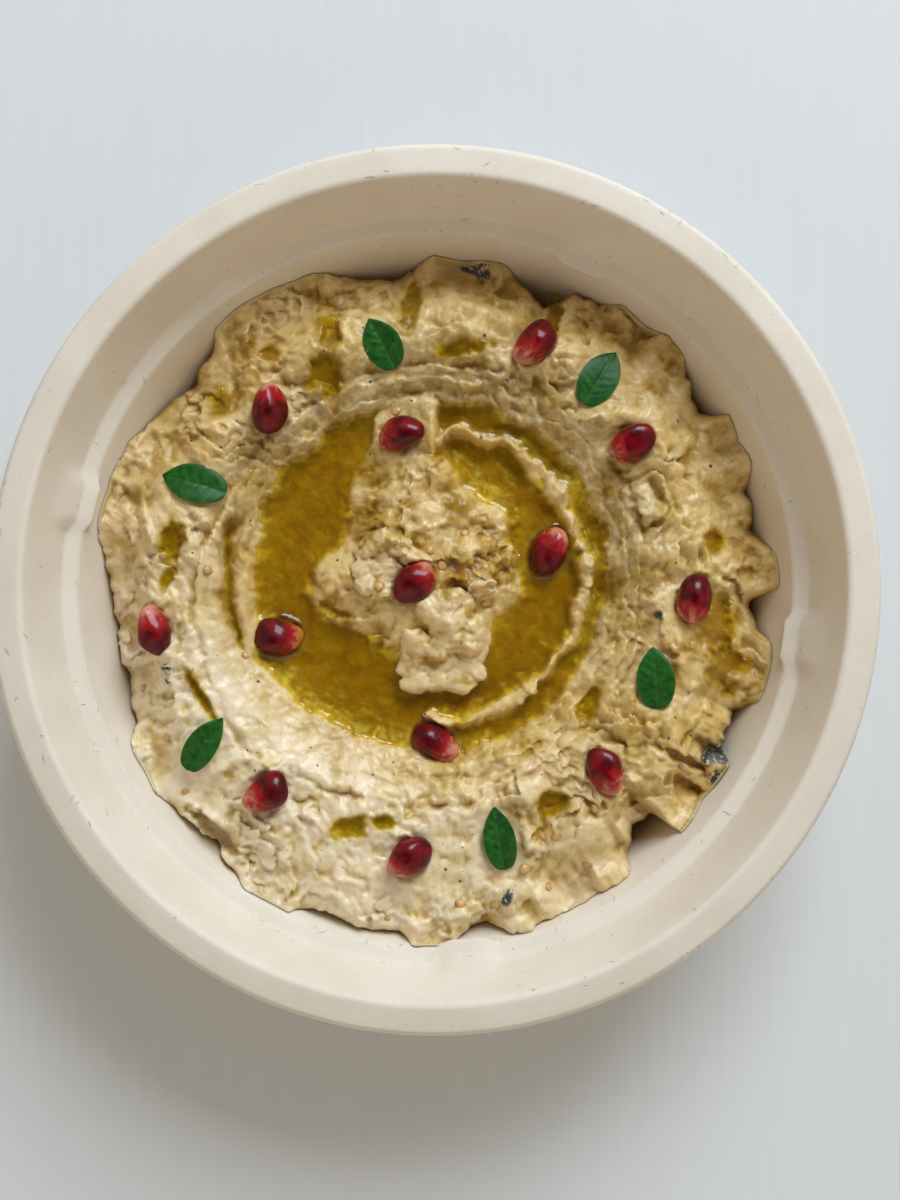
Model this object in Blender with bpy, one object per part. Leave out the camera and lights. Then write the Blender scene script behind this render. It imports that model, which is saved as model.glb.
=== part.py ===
"""Baba ganoush in a round moulded-fibre bowl.

The bowl is turned about +Z and stands on its foot ring, with the origin at the middle of the
base. The dip fills its lower part, with a spooned trough round a low mound. Olive oil lies in
the trough, and pomegranate arils and small leaves rest on top. Metres, +Z up.
"""

from math import asin, atan2, cos, exp, hypot, pi, radians, sin, tan

import bmesh
import bpy
from mathutils import Matrix, Vector
from mathutils.bvhtree import BVHTree

MM = 0.001
GAP = 0.3 * MM  # clearance between pieces that touch

# Bowl
RIM_RADIUS = 92.5 * MM
BOWL_HEIGHT = 46.3 * MM
WALL = 1.1 * MM
FINE_FILLET = 1.5 * MM  # fillets up to this are drawn as one chamfer, where they turn little
LIP_DROP = 4.0 * MM
RIM_SLOPE_DROP = 0.9 * MM
CREST_RADIUS = 85.2 * MM
LEDGE_OUTER = 79.8 * MM
LEDGE_INNER = 76.6 * MM
LEDGE_HEIGHT = 30.6 * MM
LEDGE_FALL = 1.4 * MM
FLOOR_CORNER = 66.0 * MM
FOOT_INNER = 50.0 * MM
BASE_RECESS = 1.1 * MM
LUG_ANGLES = (66, 166, 275, 352)  # degrees, four lugs that keep stacked bowls apart
LUG_HALF_WIDTH = 4.5  # degrees
LUG_REACH = 1.7 * MM
LUG_FOOT, LUG_TOP = 27.4 * MM, 37.0 * MM

# Dip
SWIRL_X, SWIRL_Y = -2.2 * MM, 2.8 * MM  # middle of the spooned swirl
DIP_RADIUS = 73.2 * MM
MOUND_TOP_RADIUS = 10.0 * MM
MOUND_FOOT_RADIUS = 29.5 * MM
MOUND_HEIGHT = 27.2 * MM
TROUGH_HEIGHT = 20.6 * MM
TROUGH_OUTER = 34.5 * MM
CREST_START = 47.5 * MM
CREST_HEIGHT = 29.0 * MM
EDGE_HEIGHT = 25.8 * MM
BRIDGE_ANGLE = 94  # degrees, where the mound runs out into the ring
BRIDGE_HALF_WIDTH, BRIDGE_HEIGHT = 13.0 * MM, 24.8 * MM
RIDGE_RADIUS, RIDGE_WIDTH = 34.0 * MM, 1.5 * MM
RIDGE_HEIGHT = 24.2 * MM
RIDGE_FROM, RIDGE_TO = -88, 82  # degrees, the thin crest that parts the oil
DOLLOPS = (  # (x, y, radius, rise) of the spoonful left on the mound, in mm
    (-10.9, 6.6, 6.8, 2.2),
    (-1.5, -0.5, 7.6, 2.8),
    (1.1, -13.1, 8.2, 5.2),
)
LOBES = (  # (angle, half width in degrees, reach in mm) of the tongues and bites of the outline
    (126, 12, 3.6),
    (103, 6, -2.6),
    (69, 4, -2.4),
    (52, 9, 3.0),
    (35, 9, -2.0),
    (3, 7, 1.8),
    (-27, 4, -2.6),
    (-39, 8, 3.2),
    (-49, 4, -6.5),
    (-60, 7, 2.2),
    (-82, 3, -1.6),
    (-92, 6, 3.0),
    (-105, 6, -1.6),
    (-118, 7, 3.4),
    (-128, 4, -3.2),
    (-151, 8, 2.4),
    (168, 8, 1.8),
)

# Oil
OIL_LEVEL = 22.9 * MM
OIL_UNDER = 19.0 * MM  # below the bottom of the trough
OIL_INNER, OIL_OUTER = 12.0 * MM, 45.0 * MM  # both under the dip's surface

# Toppings
ARIL_LENGTH, ARIL_WIDTH, ARIL_THICKNESS = 10.9 * MM, 8.0 * MM, 7.2 * MM
ARILS = (  # (x, y in mm, heading of the narrow end in degrees, size)
    (21.0, 52.9, 235, 1.02),
    (-35.6, 38.9, 100, 1.02),
    (41.5, 31.2, 205, 1.06),
    (-7.8, 33.4, 185, 0.92),
    (24.7, 8.6, 55, 1.00),
    (-4.2, 2.0, 45, 0.94),
    (55.0, -2.2, 250, 1.00),
    (-34.3, -10.0, 0, 0.86),
    (-60.8, -8.7, 95, 1.04),
    (-0.3, -33.4, 330, 0.90),
    (36.5, -38.4, 300, 1.04),
    (-36.0, -43.2, 205, 1.02),
    (-5.9, -57.4, 225, 1.00),
)
LEAF_THICKNESS = 0.5 * MM
LEAF_LIFT = 1.0 * MM
LEAVES = (  # (x, y, heading of the tip in degrees, length, width), in mm
    (-11.7, 52.9, 118, 12.4, 7.0),
    (35.4, 45.6, 58, 13.4, 7.6),
    (-51.7, 23.1, 165, 14.2, 7.2),
    (47.0, -18.8, 95, 13.2, 7.8),
    (-49.3, -33.0, 55, 13.6, 6.4),
    (13.6, -53.1, 100, 13.6, 6.4),
)

FIBRE = ((0.78, 0.74, 0.66, 1.0), 0.85)
DIP = ((0.66, 0.56, 0.38, 1.0), 0.45)
OIL = ((0.42, 0.33, 0.03, 1.0), 0.08)
ARIL = ((0.35, 0.01, 0.03, 1.0), 0.15)
LEAF = ((0.02, 0.16, 0.03, 1.0), 0.4)


# ---------------------------------------------------------------- small helpers
def clear_scene():
    for obj in list(bpy.data.objects):
        bpy.data.objects.remove(obj)


def material(name, look):
    colour, roughness = look
    made = bpy.data.materials.new(name)
    made.use_nodes = True
    shader = made.node_tree.nodes["Principled BSDF"]
    shader.inputs["Base Color"].default_value = colour
    shader.inputs["Roughness"].default_value = roughness
    shader.inputs["Metallic"].default_value = 0.0
    return made


def add_object(name, points, faces, finish, sharp_deg=40):
    mesh = bpy.data.meshes.new(name)
    mesh.from_pydata([tuple(p) for p in points], [], faces)
    mesh.validate()
    mesh.shade_smooth()
    mesh.set_sharp_from_angle(angle=radians(sharp_deg))
    mesh.materials.append(finish)
    made = bpy.data.objects.new(name, mesh)
    bpy.context.collection.objects.link(made)
    return made


def smoothstep(low, high, value):
    t = min(1.0, max(0.0, (value - low) / (high - low)))
    return t * t * (3 - 2 * t)


def angle_gap(a, b):
    """The smaller angle between two headings, in degrees."""
    return abs((a - b + 180) % 360 - 180)


def hump(offset, half_width):
    """1 at no offset, falling smoothly to 0 at the half width."""
    return 1 - smoothstep(0, half_width, abs(offset))


def skin_rings(rings, closed_ends=True):
    """Faces of a stack of equal rings of points, closed by a fan to one point at each end."""
    points = [p for ring in rings for p in ring]
    count = len(rings[0])
    faces = []
    for k in range(len(rings) - 1):
        for i in range(count):
            j = (i + 1) % count
            a, b = k * count, (k + 1) * count
            faces.append((a + i, b + i, b + j, a + j))
    if closed_ends:
        for ring_start, turned in ((0, False), ((len(rings) - 1) * count, True)):
            loop = [ring_start + i for i in range(count)]
            middle = len(points)
            points.append(sum((Vector(points[i]) for i in loop), Vector()) / count)
            for i in range(count):
                edge = (loop[i], loop[(i + 1) % count])
                faces.append((middle, *(edge[::-1] if turned else edge)))
    return points, faces


def halved(faces):
    """The faces with each four-sided one split into two triangles."""
    split = []
    for face in faces:
        split += [face] if len(face) == 3 else [face[:3], (face[0], face[2], face[3])]
    return split


# ---------------------------------------------------------------- bowl
def rounded(corners):
    """A line through corners (r, z, fillet radius), with each fillet as a short arc."""
    line = [Vector(corners[0][:2])]
    for before, here, after in zip(corners, corners[1:], corners[2:]):
        corner = Vector(here[:2])
        back = (Vector(before[:2]) - corner).normalized()
        ahead = (Vector(after[:2]) - corner).normalized()
        half = back.angle(ahead) / 2
        reach = here[2] / tan(half)
        bisector = (back + ahead).normalized()
        centre = corner + bisector * (here[2] / sin(half))
        start, end = corner + back * reach - centre, corner + ahead * reach - centre
        sweep = start.angle_signed(end)
        steps = 2 if abs(sweep) > radians(50) or here[2] > FINE_FILLET else 1
        for k in range(steps + 1):
            turn = Matrix.Rotation(-sweep * k / steps, 2)
            line.append(centre + turn @ start)
    line.append(Vector(corners[-1][:2]))
    return line


def with_height(line, height):
    """The line with one more point where it first rises through a height."""
    for k, (low, high) in enumerate(zip(line, line[1:])):
        if low.y < height < high.y:
            between = low.lerp(high, (height - low.y) / (high.y - low.y))
            return line[: k + 1] + [between] + line[k + 1 :]
    return line


def inner_profile():
    """The bowl's upper surface as (r, z), from the middle of the floor out to the lip."""
    floor, foot = WALL + BASE_RECESS, WALL
    line = rounded(
        [
            (0.0, floor, 0),
            (FOOT_INNER - 1.5 * MM, floor, 1.5 * MM),
            (FOOT_INNER, foot, 0.8 * MM),
            (FLOOR_CORNER, foot, 10 * MM),
            (LEDGE_INNER, LEDGE_HEIGHT - LEDGE_FALL, 1.4 * MM),
            (LEDGE_OUTER, LEDGE_HEIGHT, 1.8 * MM),
            (CREST_RADIUS, BOWL_HEIGHT, 1.3 * MM),
            (RIM_RADIUS - 0.9 * MM, BOWL_HEIGHT - RIM_SLOPE_DROP, 1.2 * MM),
            (RIM_RADIUS, BOWL_HEIGHT - LIP_DROP, 0),
        ]
    )
    return with_height(with_height(line, LUG_FOOT), LUG_TOP)


def offset_line(line, distance):
    """The line moved sideways, to the right of its direction."""
    moved = []
    for k, point in enumerate(line):
        ahead = line[min(k + 1, len(line) - 1)] - point
        behind = point - line[max(k - 1, 0)]
        tangents = [t.normalized() for t in (behind, ahead) if t.length > 1e-9]
        middle = sum(tangents, Vector((0, 0))).normalized()
        side = Vector((middle.y, -middle.x))
        moved.append(point + side * distance / max(0.6, middle.dot(tangents[0])))
    return moved


def lug_reach(angle_deg, height):
    """How far a lug stands in from the wall: full on the ledge, fading out up the wall."""
    beside = max(
        1 - smoothstep(0.6 * LUG_HALF_WIDTH, LUG_HALF_WIDTH, angle_gap(angle_deg, lug))
        for lug in LUG_ANGLES
    )
    up = smoothstep(LUG_FOOT, LEDGE_HEIGHT - LEDGE_FALL, height)
    down = 1 - smoothstep(LEDGE_HEIGHT, LUG_TOP, height)
    return LUG_REACH * beside * up * down


def bowl_angles():
    """Every 9 degrees, and closer where a lug rises from the wall."""
    even = [9.0 * k for k in range(40)]
    near = [lug + side * LUG_HALF_WIDTH for lug in LUG_ANGLES for side in (-1, -0.6, 0.6, 1)]
    apart = [a for a in even if all(angle_gap(a, n) > 1.5 for n in near)]
    return sorted(apart + [n % 360 for n in near])


def make_bowl(finish):
    inner = inner_profile()
    outer = [Vector((p.x, max(p.y, 0.0))) for p in offset_line(inner, WALL)]
    section = outer[1:] + inner[:0:-1]
    rings = []
    for r, z in section:
        ring = []
        for angle in bowl_angles():
            a = radians(angle)
            reach = r - lug_reach(angle, z)
            ring.append((reach * cos(a), reach * sin(a), z))
        rings.append(ring)
    points, faces = skin_rings(rings)
    return add_object("bowl", points, [face[::-1] for face in faces], finish)


def wall_radius(height):
    """The bowl's inner radius at a height below the ledge."""
    line = inner_profile()
    for low, high in zip(line, line[1:]):
        if low.y <= height <= high.y and high.y > low.y and low.x > FOOT_INNER:
            return low.x + (high.x - low.x) * (height - low.y) / (high.y - low.y)
    return FLOOR_CORNER - 7 * MM


# ---------------------------------------------------------------- dip
def outline_radius(angle_deg):
    """The dip's edge, measured from the bowl's axis."""
    return DIP_RADIUS + sum(
        reach * MM * exp(-((angle_gap(angle_deg, at) / half_width) ** 2))
        for at, half_width, reach in LOBES
    )


def ridge_share(u, angle_deg):
    """How much of the thin crest in the oil there is at this place."""
    middle = (RIDGE_FROM + RIDGE_TO) / 2
    along = 1 - smoothstep(0.8, 1.0, angle_gap(angle_deg, middle) / ((RIDGE_TO - RIDGE_FROM) / 2))
    return along * exp(-(((u - RIDGE_RADIUS) / RIDGE_WIDTH) ** 2))


def dip_height(x, y):
    """The dip's upper surface: mound, trough, outer ring, bridge, thin crest and dollops."""
    dx, dy = x - SWIRL_X, y - SWIRL_Y
    u, angle = hypot(dx, dy), atan2(dy, dx) * 180 / pi
    aside, along = u * sin(radians(angle - BRIDGE_ANGLE)), u * cos(radians(angle - BRIDGE_ANGLE))
    bridge = hump(aside, BRIDGE_HALF_WIDTH) if along > 0 else 0.0
    mound = 1 - smoothstep(MOUND_TOP_RADIUS, MOUND_FOOT_RADIUS, u)
    ring = smoothstep(TROUGH_OUTER, CREST_START, u)
    outer = smoothstep(CREST_START + 6 * MM, DIP_RADIUS, u)
    z = TROUGH_HEIGHT + (MOUND_HEIGHT - TROUGH_HEIGHT) * mound
    z += (CREST_HEIGHT - TROUGH_HEIGHT) * ring - (CREST_HEIGHT - EDGE_HEIGHT) * outer
    z += max(0.0, RIDGE_HEIGHT - z) * ridge_share(u, angle)
    z += max(0.0, BRIDGE_HEIGHT - z) * bridge
    for at_x, at_y, radius, rise in DOLLOPS:
        away = hypot(x - at_x * MM, y - at_y * MM) / (radius * MM)
        z += rise * MM * (1 - smoothstep(0.45, 1.0, away))
    waves = sin(x / (5.1 * MM) + 1.3) * sin(y / (4.3 * MM)) + 0.6 * sin((x - y) / (3.4 * MM))
    return z + 0.45 * MM * waves * smoothstep(CREST_START - 4 * MM, CREST_START + 6 * MM, u)


def dip_angles():
    return [6.0 * k for k in range(60)]


def dip_shares():
    """Where the rings of the upper surface lie, from the swirl's middle (0) to the edge (1)."""
    marks = (6, 11, 15, 19, 22, 26, 30, 32.6, 34, 35.4, 37.5, 41, 45, 50, 57, 65)
    return [mark * MM / DIP_RADIUS for mark in marks] + [0.975, 1.0]


def make_dip(finish):
    bottom = WALL + BASE_RECESS + GAP
    rings = []
    for share in dip_shares():
        ring = []
        for angle in dip_angles():
            a = radians(angle)
            reach = min(outline_radius(angle), wall_radius(EDGE_HEIGHT) - 2 * GAP)
            # Rings are round the swirl's middle inside, and follow the outline outside.
            off = 1 - smoothstep(0.6, 1.0, share)
            x = share * (reach if share > 0.9 else DIP_RADIUS) * cos(a) + off * SWIRL_X
            y = share * (reach if share > 0.9 else DIP_RADIUS) * sin(a) + off * SWIRL_Y
            ring.append((x, y, dip_height(x, y)))
        rings.append(ring)
    for drop in (0.2, 0.7, 1.0):
        ring = []
        for k, angle in enumerate(dip_angles()):
            a = radians(angle)
            top = rings[len(dip_shares()) - 1][k][2]
            z = top + (bottom - top) * drop
            held_in = outline_radius(angle) - 0.8 * MM * drop
            reach = min(held_in, wall_radius(z) - 2 * GAP)
            ring.append((reach * cos(a), reach * sin(a), z))
        rings.append(ring)
    points, faces = skin_rings(rings)
    return add_object("baba_ganoush", points, halved(faces), finish)


# ---------------------------------------------------------------- oil
def make_oil(dip, arils, finish):
    """A level sheet of oil, whose shore follows the dip and which stands round the arils."""
    sections = []
    for angle in dip_angles():
        a = radians(angle)
        sections.append(
            [
                (SWIRL_X + r * cos(a), SWIRL_Y + r * sin(a), z)
                for r, z in (
                    (OIL_INNER, OIL_LEVEL),
                    (OIL_OUTER, OIL_LEVEL),
                    (OIL_OUTER, OIL_UNDER),
                    (OIL_INNER, OIL_UNDER),
                )
            ]
        )
    sections.append(sections[0])
    points, faces = skin_rings(sections[::-1], closed_ends=False)
    oil = add_object("olive_oil", points, faces, finish)
    weld_points(oil)
    cut_away(oil, dip, Matrix.Translation((0, 0, GAP)))
    for aril in arils:
        lowest = min((aril.matrix_world @ v.co).z for v in aril.data.vertices)
        if lowest < OIL_LEVEL + GAP:
            grown = Matrix.Diagonal([1 + 2.4 * GAP / d for d in aril.dimensions]).to_4x4()
            cut_away(oil, aril, aril.matrix_world @ grown)
    return oil


def cut_away(obj, other, placed):
    """Cuts a copy of another piece, placed as given, out of an object."""
    clearance = bpy.data.objects.new(f"{other.name}_clearance", other.data.copy())
    clearance.matrix_world = placed
    clearance.hide_render = True
    clearance.display_type = "WIRE"
    bpy.context.collection.objects.link(clearance)
    cut = obj.modifiers.new(f"around_{other.name}", "BOOLEAN")
    cut.operation = "DIFFERENCE"
    cut.solver = "EXACT"
    cut.object = clearance


def weld_points(obj):
    """Joins the points of a mesh that lie in the same place."""
    work = bmesh.new()
    work.from_mesh(obj.data)
    bmesh.ops.remove_doubles(work, verts=work.verts, dist=0.01 * MM)
    work.to_mesh(obj.data)
    work.free()


# ---------------------------------------------------------------- toppings
def aril_mesh(size):
    """A pomegranate aril along +X: rounded at the back and drawn in towards its tip."""
    rows, around = 7, 10
    half = Vector((ARIL_LENGTH, ARIL_WIDTH, ARIL_THICKNESS)) * size / 2
    rings = []
    for k in range(1, rows):
        lean = -pi / 2 + pi * k / rows
        x, girth = sin(lean), cos(lean)
        taper = 1 - 0.22 * smoothstep(-0.2, 1.0, x)
        ring = []
        for i in range(around):
            a = 2 * pi * i / around
            ring.append(
                (half.x * x, half.y * girth * taper * cos(a), half.z * girth * taper * sin(a))
            )
        rings.append(ring)
    points, faces = skin_rings(rings, closed_ends=False)
    ends = []
    for k, x in ((0, -half.x), (len(rings) - 1, half.x)):
        ends.append(len(points))
        points.append((x, 0.0, 0.0))
        for i in range(around):
            edge = (k * around + i, k * around + (i + 1) % around)
            faces.append((ends[-1], *(edge if k == 0 else edge[::-1])))
    return points, [face[::-1] for face in faces]


def leaf_mesh(length, width):
    """A pointed oval leaf along +X, folded a little along its midrib and arched end to end."""
    columns, rows = 6, 4
    layers = []
    for side in (1, -1):
        grid = []
        for i in range(columns + 1):
            along = i / columns
            half = width / 2 * max(0.06, sin(pi * along**0.85) ** 0.8)
            for j in range(rows + 1):
                across = 2 * j / rows - 1
                arch = LEAF_LIFT * (sin(pi * along) - 0.5)
                fold = 0.9 * MM * abs(across) * sin(pi * along)
                z = arch + fold + side * LEAF_THICKNESS / 2
                grid.append((length * (along - 0.5), half * across, z))
        layers.append(grid)
    points = layers[0] + layers[1]
    wide, under = rows + 1, len(layers[0])
    faces = []
    for i in range(columns):
        for j in range(rows):
            a = i * wide + j
            quad = (a, a + wide, a + wide + 1, a + 1)
            faces.append(quad)
            faces.append(tuple(under + q for q in quad[::-1]))
    rim = [i * wide for i in range(columns + 1)]
    rim += [columns * wide + j for j in range(1, wide)]
    rim += [i * wide + rows for i in range(columns - 1, -1, -1)]
    rim += [j for j in range(rows - 1, 0, -1)]
    for here, after in zip(rim, rim[1:] + rim[:1]):
        faces.append((here, here + under, after + under, after))
    return points, faces


def tree_of(points, faces):
    return BVHTree.FromPolygons([tuple(p) for p in points], faces)


def least_drop(points, faces, ground):
    """How far the shape can come straight down before it touches the ground mesh."""
    ground_points = [v.co for v in ground.vertices]
    shape, below = tree_of(points, faces), tree_of(ground_points, [p.vertices for p in ground.polygons])
    falls = [below.ray_cast(point, Vector((0, 0, -1))) for point in points]
    rises = [shape.ray_cast(point, Vector((0, 0, 1))) for point in ground_points]
    return min(distance for place, _, _, distance in falls + rises if place)


def slope_turn(x, y, heading_deg, share=0.8):
    """Turns a shape to its heading, and leans it with the dip's slope."""
    step = 3 * MM
    normal = Vector(
        (
            dip_height(x - step, y) - dip_height(x + step, y),
            dip_height(x, y - step) - dip_height(x, y + step),
            2 * step,
        )
    )
    normal = Vector((0, 0, 1)).lerp(normal.normalized(), share).normalized()
    lean = Vector((0, 0, 1)).rotation_difference(normal).to_matrix()
    return lean @ Matrix.Rotation(radians(heading_deg), 3, "Z")


def place_topping(name, shape, x, y, heading, ground, finish):
    """Sets a topping down on the dip, a small gap above it."""
    points, faces = shape
    turn = slope_turn(x, y, heading)
    start = Vector((x, y, BOWL_HEIGHT))
    placed = [turn @ Vector(p) + start for p in points]
    drop = least_drop(placed, faces, ground) - GAP
    made = add_object(name, points, faces, finish)
    made.matrix_world = Matrix.Translation(start - Vector((0, 0, drop))) @ turn.to_4x4()
    return made


def make_arils(ground, finish):
    arils = []
    for k, (x, y, heading, size) in enumerate(ARILS, 1):
        name = f"pomegranate_aril_{k:02d}"
        arils.append(place_topping(name, aril_mesh(size), x * MM, y * MM, heading, ground, finish))
    return arils


def make_leaves(ground, finish):
    for k, (x, y, heading, length, width) in enumerate(LEAVES, 1):
        shape = leaf_mesh(length * MM, width * MM)
        place_topping(f"leaf_{k}", shape, x * MM, y * MM, heading, ground, finish)


def main():
    clear_scene()
    make_bowl(material("moulded_fibre", FIBRE))
    dip = make_dip(material("baba_ganoush", DIP))
    make_leaves(dip.data, material("leaf", LEAF))
    arils = make_arils(dip.data, material("pomegranate", ARIL))
    make_oil(dip, arils, material("olive_oil", OIL))


main()
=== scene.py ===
"""Baba ganoush in a moulded-fibre bowl, with olive oil, pomegranate arils and herb leaves.

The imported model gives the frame: every piece here stands for one of its solids, or lies on the
dip. Lengths in the tables are in millimetres, headings in degrees, counterclockwise from +X.
"""

from math import cos, pi, radians, sin, tan

import bpy
import numpy as np
from mathutils import Matrix, Vector
from mathutils.bvhtree import BVHTree
from numpy.random import default_rng


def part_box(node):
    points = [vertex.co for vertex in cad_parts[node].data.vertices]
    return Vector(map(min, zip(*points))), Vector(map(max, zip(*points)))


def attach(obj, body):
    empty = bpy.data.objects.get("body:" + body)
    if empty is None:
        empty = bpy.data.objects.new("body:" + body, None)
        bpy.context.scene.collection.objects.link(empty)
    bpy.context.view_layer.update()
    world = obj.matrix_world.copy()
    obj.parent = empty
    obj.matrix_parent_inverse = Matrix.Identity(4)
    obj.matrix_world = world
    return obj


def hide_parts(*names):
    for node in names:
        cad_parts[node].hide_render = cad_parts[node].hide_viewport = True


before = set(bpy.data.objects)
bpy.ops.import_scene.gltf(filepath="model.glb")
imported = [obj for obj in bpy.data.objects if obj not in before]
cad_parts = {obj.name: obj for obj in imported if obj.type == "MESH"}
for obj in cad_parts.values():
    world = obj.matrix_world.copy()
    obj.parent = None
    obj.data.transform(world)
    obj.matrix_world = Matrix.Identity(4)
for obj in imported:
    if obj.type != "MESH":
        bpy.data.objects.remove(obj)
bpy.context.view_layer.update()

MM = 0.001

# Dip: the spooned swirl, its mound, the oil's level and the outline
MEAN_REACH = 72
SWIRL = (-2.2, 2.8)
OIL_LEVEL, OIL_REACH = 22.9, 45.5
BED_DEPTH = 2.6
OIL_BODY = 5  # the oil goes on under the dip, where only its upper side shows
MOUND_SHORE = (  # (heading, distance from the swirl's middle) where the mound leaves the oil
    (4, 19.6), (17, 19.2), (31, 21.5), (43, 22), (57, 20.6), (68, 21.8), (77, 24.5), (82, 27.5),
    (85, 32), (87, 41), (103, 41), (107, 36.5), (112, 30.5), (119, 28.4), (126, 25.6), (133, 23),
    (145, 20.6), (155, 19.2), (165, 21), (175, 23.4), (188, 25), (198, 23.5), (210, 20),
    (220, 18.6), (238, 17.8), (250, 18.5), (268, 17.5), (298, 19.5), (315, 19), (332, 18.6),
    (350, 20.4),
)
RING_SHORE = (  # the same for the outer ring
    (3, 39.5), (40, 39.8), (55, 39.5), (82, 39.2), (109, 37.3), (122, 38.2), (136, 37.6),
    (145, 39.4), (158, 38), (175, 36.8), (190, 36.4), (197, 37.2), (205, 40.2), (223, 38.8),
    (246, 37.4), (267, 37), (282, 38.4), (303, 38.7), (322, 38.9), (341, 39),
)
THIN_CREST = (  # (heading, radius, half width) of the thin crest that parts the oil on the right
    (-90, 30.6, 1.2), (-81, 31.2, 2.3), (-70, 32.4, 2.1), (-56, 32.7, 1.8), (-42, 32.6, 1.5),
    (-29, 33.5, 1.6), (-16, 34.3, 1.8), (-2, 34.6, 1.8), (10, 34.6, 2.1), (22, 34.2, 2.9),
    (34, 33.4, 3.1), (48, 33.4, 2), (60, 33.6, 1.5), (71, 32.7, 1.7), (81, 31, 2),
    (90, 28.4, 2),
)
CREASE = (  # (heading, radius) of the crease between the spooned lip and the rough outer ring
    (-60, 48), (-20, 48.5), (10, 48), (48, 46.3), (61, 47.2), (90, 46), (121, 44.5), (164, 46.2),
    (181, 50.3), (200, 50.6), (211, 51.9), (224, 53.2), (240, 50), (270, 49),
)
OUTLINE = (  # (heading, distance from the bowl's axis) of the dip's edge
    (91, 72.3), (86, 73.9), (80, 73), (75, 70.7), (72, 68.3), (69, 66.3), (65, 71), (60, 71.9),
    (53, 75.4), (48, 74.6), (41, 71.9), (34, 69.4), (31, 73.5), (23, 72.8), (18, 71.2),
    (10, 70.8), (5, 75), (1, 74.4), (-2, 68.6), (-7, 70.1), (-10, 73.9), (-16, 75.2),
    (-22, 69.7), (-27, 70.4), (-32, 74.2), (-38, 74.1), (-42, 75.8), (-44.5, 75.2), (-46, 68),
    (-50, 66.8), (-53, 70), (-56, 73.6), (-61, 75), (-66, 74.4), (-71, 75.3), (-78, 75.3),
    (-81, 72.1), (-84, 72.2), (-88, 76.5), (-93, 76.8), (-96, 74.2), (-103, 73.8), (-109, 72.9),
    (-115, 75.9), (-121, 76.2), (-126, 74.5), (-130, 71.8), (-136, 72.2), (-141, 73.2),
    (-147, 75), (-151, 74.6), (-156, 71.2), (-163, 70), (-170, 69.9), (-177, 70.6), (178, 70.9),
    (173, 72.7), (166, 75), (159, 73.5), (154, 72.6), (144, 70.5), (139, 70), (134, 70.7),
    (128, 74.1), (120, 75.3), (114, 72.7), (109, 72.2), (104, 70), (98, 68.5), (94, 69.8),
)
HOLLOWS = (  # (x, y, half length, half width, heading, depth) of places torn out of the dip
    (-47.5, -52.6, 8, 2.4, -42, 7), (54, -36.5, 6, 1.2, 150, 2.4), (47.5, 21.5, 1.2, 4.2, 30, 2.2),
    (-55, 29, 3, 6, 40, 1.4),
)
PUDDLES = (  # the same for small pools of oil
    (60.5, -7.5, 6.8, 4.5, 95, 1.6), (62.5, -16.5, 5.8, 4.9, 60, 1.6),
    (33, -25.3, 4.8, 2.2, 65, 1.3), (25.1, -45.6, 3.6, 3.2, 20, 1.4),
    (59.8, 10.8, 3.2, 2.4, 100, 1.2), (5.5, 52, 6.2, 2.2, 8, 1.3),
    (-56.4, 10.8, 4.4, 2.9, 80, 1.7), (-57.7, 2.6, 2.8, 1.5, 60, 1.2),
    (-23.7, 46.6, 4.9, 4.2, 120, 1.8), (-23, 54.7, 3.8, 3, 90, 1.3), (-35.4, 50.7, 2.6, 2, 0, 1),
    (-5.3, 61.5, 6, 2, 80, 1.3), (-45.9, 40.2, 3.8, 3, 45, 1), (-18.4, -50.9, 4.4, 2.6, 10, 1.3),
    (-11.2, -49.6, 2.6, 2, 0, 1), (-50.5, -22, 6.2, 1.3, 118, 1.2), (25.8, 59.9, 5.2, 1.5, 85, 1.6),
)
SKIN = (  # (x, y, radius) of bits of charred aubergine skin in the dip
    (61, -35.5, 4.2), (62.5, -41, 3.4), (9.8, 70, 2.6), (6.6, 71.2, 1.4), (15.3, -66, 2),
    (-57.4, -17, 1.5), (-57.6, -19.6, 0.9), (47.6, -5.2, 1.1),
)
# Spoonful left on the mound, and its lobes as (x, y, radius, height above the mound)
SPOONFUL_MIDDLE, SPOONFUL_REACH = (-3, -5), 20
SPOONFUL = (
    (-15, 9.5, 3.4, 2.2), (-11.5, 11.2, 3, 2.6), (-7.5, 9.6, 2.8, 2.8), (-4.6, 6.8, 2.8, 2.2),
    (-15.9, 4.8, 2.6, 2), (-15.2, 1.2, 2.6, 2.3), (-11.4, -0.8, 2.8, 2.5), (-11.8, 5.2, 4.8, 0.9),
    (-0.8, -4, 4, 2.6), (4.5, -3.4, 4.2, 2.8), (9.6, 0.8, 2.8, 1.5), (3, -7.8, 4.8, 3.2),
    (8, -8.6, 3.6, 2.8), (10.6, -11.3, 2, 2.2), (-4.2, -12, 3.8, 2.8), (-4.8, -16.2, 3.2, 2.6),
    (2, -13.6, 5.2, 2.6), (7.8, -13.4, 3.8, 3), (-3.6, -19.4, 3.1, 2.4), (0.6, -19.2, 3.4, 2.3),
    (4.8, -19.2, 3.7, 2.7), (7, -16.6, 3.4, 2.6), (0.8, -16.6, 4.6, 2),
)
SEEDS = (  # (x, y) of the aubergine seeds that lie open
    (6.3, 12.4), (10.9, -2.8), (-1.3, 8.7), (10.7, 5), (24.2, -63.8), (32.9, -59.2),
    (55.1, -11.8), (49.2, -11.5), (34.2, -46.8), (25.7, -52.7), (5.4, -67.1), (-58.1, -31.8),
    (-63.8, -21.3), (-54, -43.5), (-38.5, -50.9), (-10.4, -70.3), (-41.1, -14.2),
)

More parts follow.
